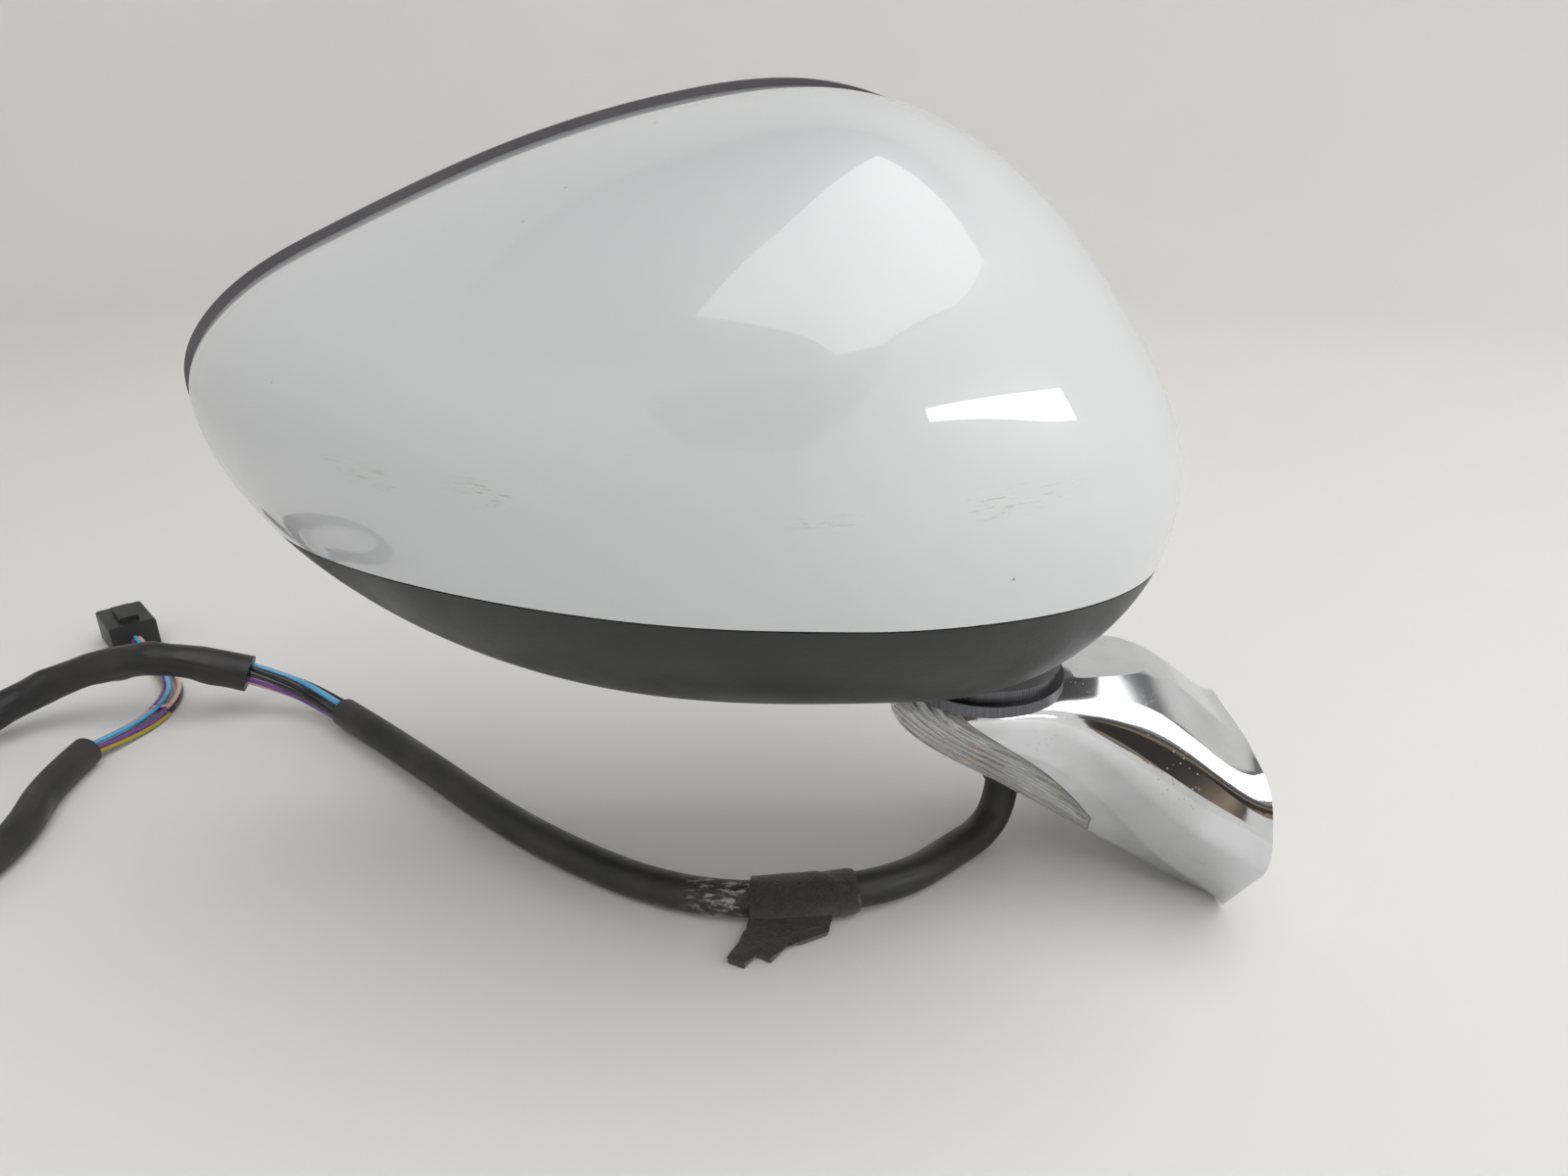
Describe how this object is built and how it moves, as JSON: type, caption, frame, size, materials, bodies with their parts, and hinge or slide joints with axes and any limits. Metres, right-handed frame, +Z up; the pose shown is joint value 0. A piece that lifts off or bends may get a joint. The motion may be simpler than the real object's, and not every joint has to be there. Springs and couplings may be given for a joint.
{
  "type": "door mirror",
  "caption": "Passenger-car door mirror with a folding head, tilting glass, indicator in the foot and a loose wiring harness.",
  "frame": {"origin": "centre of the circle of door inserts, in the mounting face of the foot", "axes": "+X inboard, into the door, square to the mounting face; +Y to the rear of the vehicle, the way the glass faces; +Z up"},
  "size_m": [0.3717, 0.2003, 0.1857],
  "materials": {
    "white_paint": "clear-coated",
    "black_plastic": "satin grained",
    "bezel_plastic": "satin",
    "frame_plastic": "moulded",
    "nylon": "moulded",
    "steel": "plated",
    "dark_steel": "phosphated",
    "heater_foil": "film",
    "mirror_glass": "silvered",
    "chrome": "slightly pitted",
    "cast_alloy": "as cast",
    "rubber": "matt",
    "clear_lens": "fluted",
    "amber_glass": "tinted",
    "loom_sheath": "scuffed",
    "wire_pvc": "glossy insulation",
    "wrap_tape": "tape",
    "foam_tape": "foam",
    "connector_plastic": "moulded"
  },
  "bodies": {
    "foot": {"foot_cover": "chrome", "foot_bracket": "cast_alloy", "foot_gasket": "rubber", "door_inserts": "steel", "foot_screws": "steel", "spindle": "dark_steel", "detent_ring": "dark_steel", "fold_spring": "steel", "spring_retainer": "steel", "spindle_gear": "steel", "lamp_housing": "black_plastic", "lamp_reflector": "chrome", "lamp_lens": "clear_lens", "lamp_bulb": "amber_glass", "lamp_socket": "black_plastic", "cable_grommet": "rubber", "harness_loom": "loom_sheath", "harness_bare_wires": "wire_pvc", "harness_wrap": "wrap_tape", "harness_tail": "loom_sheath", "harness_fan": "wire_pvc", "foam_sleeve": "foam_tape", "harness_connector": "connector_plastic", "connector_lock": "connector_plastic"},
    "head": {"cover_cap": "white_paint", "lower_shell": "black_plastic", "bezel": "bezel_plastic", "head_frame": "frame_plastic", "spindle_bush": "nylon", "fold_gearbox": "frame_plastic", "fold_motor": "steel", "head_screws": "steel", "cap_clips": "steel", "actuator_case_front": "frame_plastic", "actuator_case_rear": "frame_plastic", "tilt_motors": "steel"},
    "pinion": {"fold_pinion": "nylon"},
    "gimbal": {"gimbal_ring": "nylon"},
    "glass": {"glass_plate": "frame_plastic", "heater_pad": "heater_foil", "mirror_glass": "mirror_glass"},
    "screw_v": {"jackscrew_v": "nylon"},
    "screw_h": {"jackscrew_h": "nylon"},
    "nut_v": {"jack_nut_v": "nylon"},
    "nut_h": {"jack_nut_h": "nylon"}
  },
  "joints": [
    {"name": "head_fold", "type": "hinge", "parent": "foot", "child": "head", "pos_m": [-0.062, 0, 0.0395], "axis": [0, 0, -1], "range_deg": [-45, 65]},
    {"name": "pinion_spin", "type": "hinge", "parent": "head", "child": "pinion", "pos_m": [-0.08165, 0, 0.099], "axis": [0, 0, -1], "range_deg": [-103, 148]},
    {"name": "mirror_pitch", "type": "hinge", "parent": "head", "child": "gimbal", "pos_m": [-0.137, 0.022, 0.096], "axis": [1, 0, 0], "range_deg": [-7, 7]},
    {"name": "mirror_yaw", "type": "hinge", "parent": "gimbal", "child": "glass", "pos_m": [-0.137, 0.022, 0.096], "axis": [0, 0, 1], "range_deg": [-5, 5]},
    {"name": "screw_v_travel", "type": "slide", "parent": "head", "child": "screw_v", "axis": [0, 1, 0], "range_m": [-0.0028, 0.0028]},
    {"name": "screw_h_travel", "type": "slide", "parent": "head", "child": "screw_h", "axis": [0, 1, 0], "range_m": [-0.002, 0.002]},
    {"name": "nut_v_turn", "type": "hinge", "parent": "head", "child": "nut_v", "pos_m": [-0.137, 0.022, 0.118], "axis": [0, 1, 0], "range_deg": [-330, 330]},
    {"name": "nut_h_turn", "type": "hinge", "parent": "head", "child": "nut_h", "pos_m": [-0.159, 0.022, 0.096], "axis": [0, 1, 0], "range_deg": [-240, 240]}
  ],
  "couplings": [
    {"joint": "pinion_spin", "follows": "head_fold", "ratio": 2.25},
    {"joint": "screw_v_travel", "follows": "mirror_pitch", "m_per_rad": -0.022},
    {"joint": "screw_h_travel", "follows": "mirror_yaw", "m_per_rad": -0.022},
    {"joint": "nut_v_turn", "follows": "mirror_pitch", "ratio": -46.077},
    {"joint": "nut_h_turn", "follows": "mirror_yaw", "ratio": -46.077}
  ]
}
